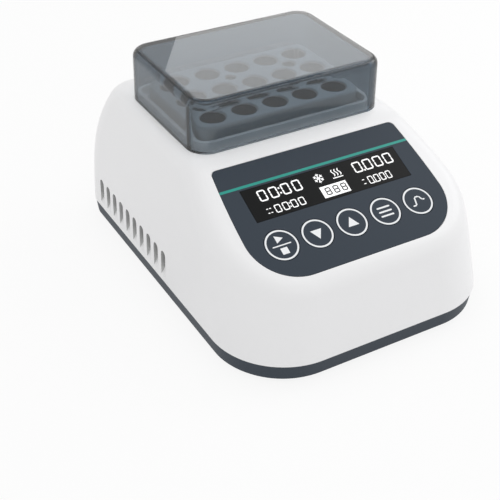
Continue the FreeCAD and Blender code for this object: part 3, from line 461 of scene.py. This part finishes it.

# The lid is one moulding in clear acrylic with a smoke tint through the material, 3 mm thick, and it lifts
# straight off. Its rounded rim is coloured darker as painted shade, and it darkens where a ray runs along a
# wall. Lamp and room light reaches the block through a paler tint, which stands for the light that the walls
# pass on.
lid_clear = "ffffff"
# The darker rim colour is painted shade for the dark lines along the lid's rounded edges.
rim_painted_shade = "59636b"
rim_turn = (0.86, 0.06)
smoke_tint = linear("a5b5bf")
lid_acrylic, tree, shader = start_material("smoked_acrylic", lid_clear, 0.01, IOR=1.49,
                                           Transmission_Weight=0.97)
output = tree.nodes["Material Output"]
rays = add_node(tree, "LightPath", {})
lamp_way = add_node(tree, "BsdfTransparent", {"Color": linear("f9f9f9")})
surface = add_node(tree, "MixShader", {0: rays.outputs["Is Shadow Ray"], 1: shader.outputs[0],
                                       2: lamp_way.outputs[0]})
tree.links.new(surface.outputs[0], output.inputs["Surface"])
indirect = add_node(tree, "Math", {0: rays.outputs["Is Shadow Ray"], 1: rays.outputs["Diffuse Depth"]},
                    operation="MAXIMUM")
smoke = add_node(tree, "VolumeAbsorption", {"Color": smoke_tint, "Density": 680.0})
pale_smoke = add_node(tree, "VolumeAbsorption", {"Color": smoke_tint, "Density": 40.0})
tint = add_node(tree, "MixShader", {0: indirect.outputs[0], 1: smoke.outputs[0], 2: pale_smoke.outputs[0]})
tree.links.new(tint.outputs[0], output.inputs["Volume"])
place = add_node(tree, "TexCoord", {})
# Painted shade: the faces of the rounded rim take the darker colour.
two_tone(tree, shader, all_near(tree, place.outputs["Normal"], ((2, rim_turn),)), lid_clear, rim_painted_shade)
dress("lid", lid_acrylic)

# The tube block is milled from aluminium plate, bead-blasted and clear anodised, an even satin grey.
# It sits loose in its seat. The blasting's pits are drawn coarser than real ones, so that they show.
# The drilled holes lie inside its outer faces and are coloured darker, as painted shade for the shadow deep
# in them.
block_silver = "d0d3d5"
# The darker grey for the holes is painted shade.
hole_shade_grey = "85929a"
skin = 0.0009
corner = 0.006
block_anodised, tree, shader = start_material("blasted_anodised_aluminium", block_silver, 0.42, Metallic=0.8)
block_low, block_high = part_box("tube_block")
place = add_node(tree, "TexCoord", {})
boxes = []
for short_axis in (0, 1):
    spans = []
    for axis in range(3):
        middle = (block_low[axis] + block_high[axis]) / 2
        reach = (block_high[axis] - block_low[axis]) / 2 - (corner if axis == short_axis else skin)
        spans.append((axis, (middle, reach)))
    boxes.append(all_near(tree, place.outputs["Object"], spans))
hole_shade_mask = add_node(tree, "Math", {0: boxes[0].outputs[0], 1: boxes[1].outputs[0]}, operation="MAXIMUM")
# Painted shade: the faces inside the block's outline, the walls of the holes, take the darker grey.
two_tone(tree, shader, hole_shade_mask, block_silver, hole_shade_grey)
grain(tree, shader, size_mm=0.35, height_mm=0.006)
dress("tube_block", block_anodised)

# The heat spreader and the heatsink are bare aluminium: one milled flat, the other extruded.
# Both keep straight tool lines along their length, drawn coarser than real ones, so that they show.
bare_aluminium, tree, shader = start_material("milled_aluminium", "c4c7c9", 0.34, Metallic=1.0)
lines = add_node(tree, "TexWave", {"Vector": place_of(tree, 0.8).outputs[0], "Scale": 1.0, "Distortion": 1.5,
                                   "Detail": 2.0}, bands_direction="Y")
relief = add_node(tree, "Bump", {"Height": lines.outputs[1], "Strength": 1.0, "Distance": 0.000004})
tree.links.new(relief.outputs[0], shader.inputs["Normal"])
for name in ("heat_spreader", "heatsink"):
    dress(name, bare_aluminium)

# A silicone gasket seals the block's edge against the deck, and a collar of closed-cell foam
# holds the heat in below it. Both are matt, the gasket grey and the foam dark.
gasket_silicone, tree, shader = start_material("silicone_grey", "c2c6c9", 0.6, IOR=1.41)
grain(tree, shader, size_mm=0.7, height_mm=0.01)
dress("deck_gasket", gasket_silicone)
collar_foam, tree, shader = start_material("closed_cell_foam", "26282a", 0.9, IOR=1.4)
cells = add_node(tree, "TexVoronoi", {"Vector": place_of(tree, 0.8).outputs[0], "Scale": 1.0})
pits = add_node(tree, "Bump", {"Height": cells.outputs[0], "Strength": 1.0, "Distance": 0.0001})
tree.links.new(pits.outputs[0], shader.inputs["Normal"])
dress("insulation_collar", collar_foam)

# The thermoelectric modules have white faces of fired alumina and are clamped between spreader and
# heatsink. Their grain from firing is drawn coarser than the real one, so that it shows.
alumina, tree, shader = start_material("fired_alumina", "e9e8e2", 0.7, IOR=1.7)
grain(tree, shader, size_mm=0.3, height_mm=0.01)
dress("peltier_modules", alumina)

# Fan, sockets, switch bodies and the display's case are black glass-filled nylon.
# The glass fibres leave a faint random sheen in the matt surface. The power rocker is plain nylon,
# polished where a finger presses it.
nylon_black, tree, shader = start_material("glass_filled_nylon", "161718", 0.5, IOR=1.53)
fibres = grain(tree, shader, size_mm=0.5, height_mm=0.008, detail=3.0)
sheen = add_node(tree, "MapRange", {"Value": fibres.outputs[0], "To Min": 0.4, "To Max": 0.65})
tree.links.new(sheen.outputs[0], shader.inputs["Roughness"])
for name in ("fan_frame", "fan_rotor", "key_switches", "display_module", "power_inlet", "rocker_frame"):
    dress(name, nylon_black)
rocker_gloss, tree, shader = start_material("polished_nylon_black", "101112", 0.22, IOR=1.53)
grain(tree, shader, size_mm=1.2, height_mm=0.003)
dress("power_rocker", rocker_gloss)

# The circuit boards are glass-epoxy with green solder mask over copper tracks, which show through as
# paler lines on a grid of 1.27 mm. The capacitors on them wear a navy shrink sleeve.
track_pitch_mm = 1.27
mask_green = "14532d"
board_green, tree, shader = start_material("solder_mask_green", mask_green, 0.35, IOR=1.5)
tracks = add_node(tree, "TexBrick", {"Vector": place_of(tree, track_pitch_mm).outputs[0],
                                     "Color1": linear(mask_green), "Color2": linear("17603a"),
                                     "Mortar": linear("2f7d4c"), "Scale": 1.0, "Mortar Size": 0.08,
                                     "Brick Width": 3.0, "Row Height": 1.0})
tree.links.new(tracks.outputs[0], shader.inputs["Base Color"])
for name in ("panel_board", "main_board"):
    dress(name, board_green)
can_sleeve, tree, shader = start_material("shrink_sleeve_navy", "141a3a", 0.3, IOR=1.5)
grain(tree, shader, size_mm=0.6, height_mm=0.004)
dress("capacitors", can_sleeve)
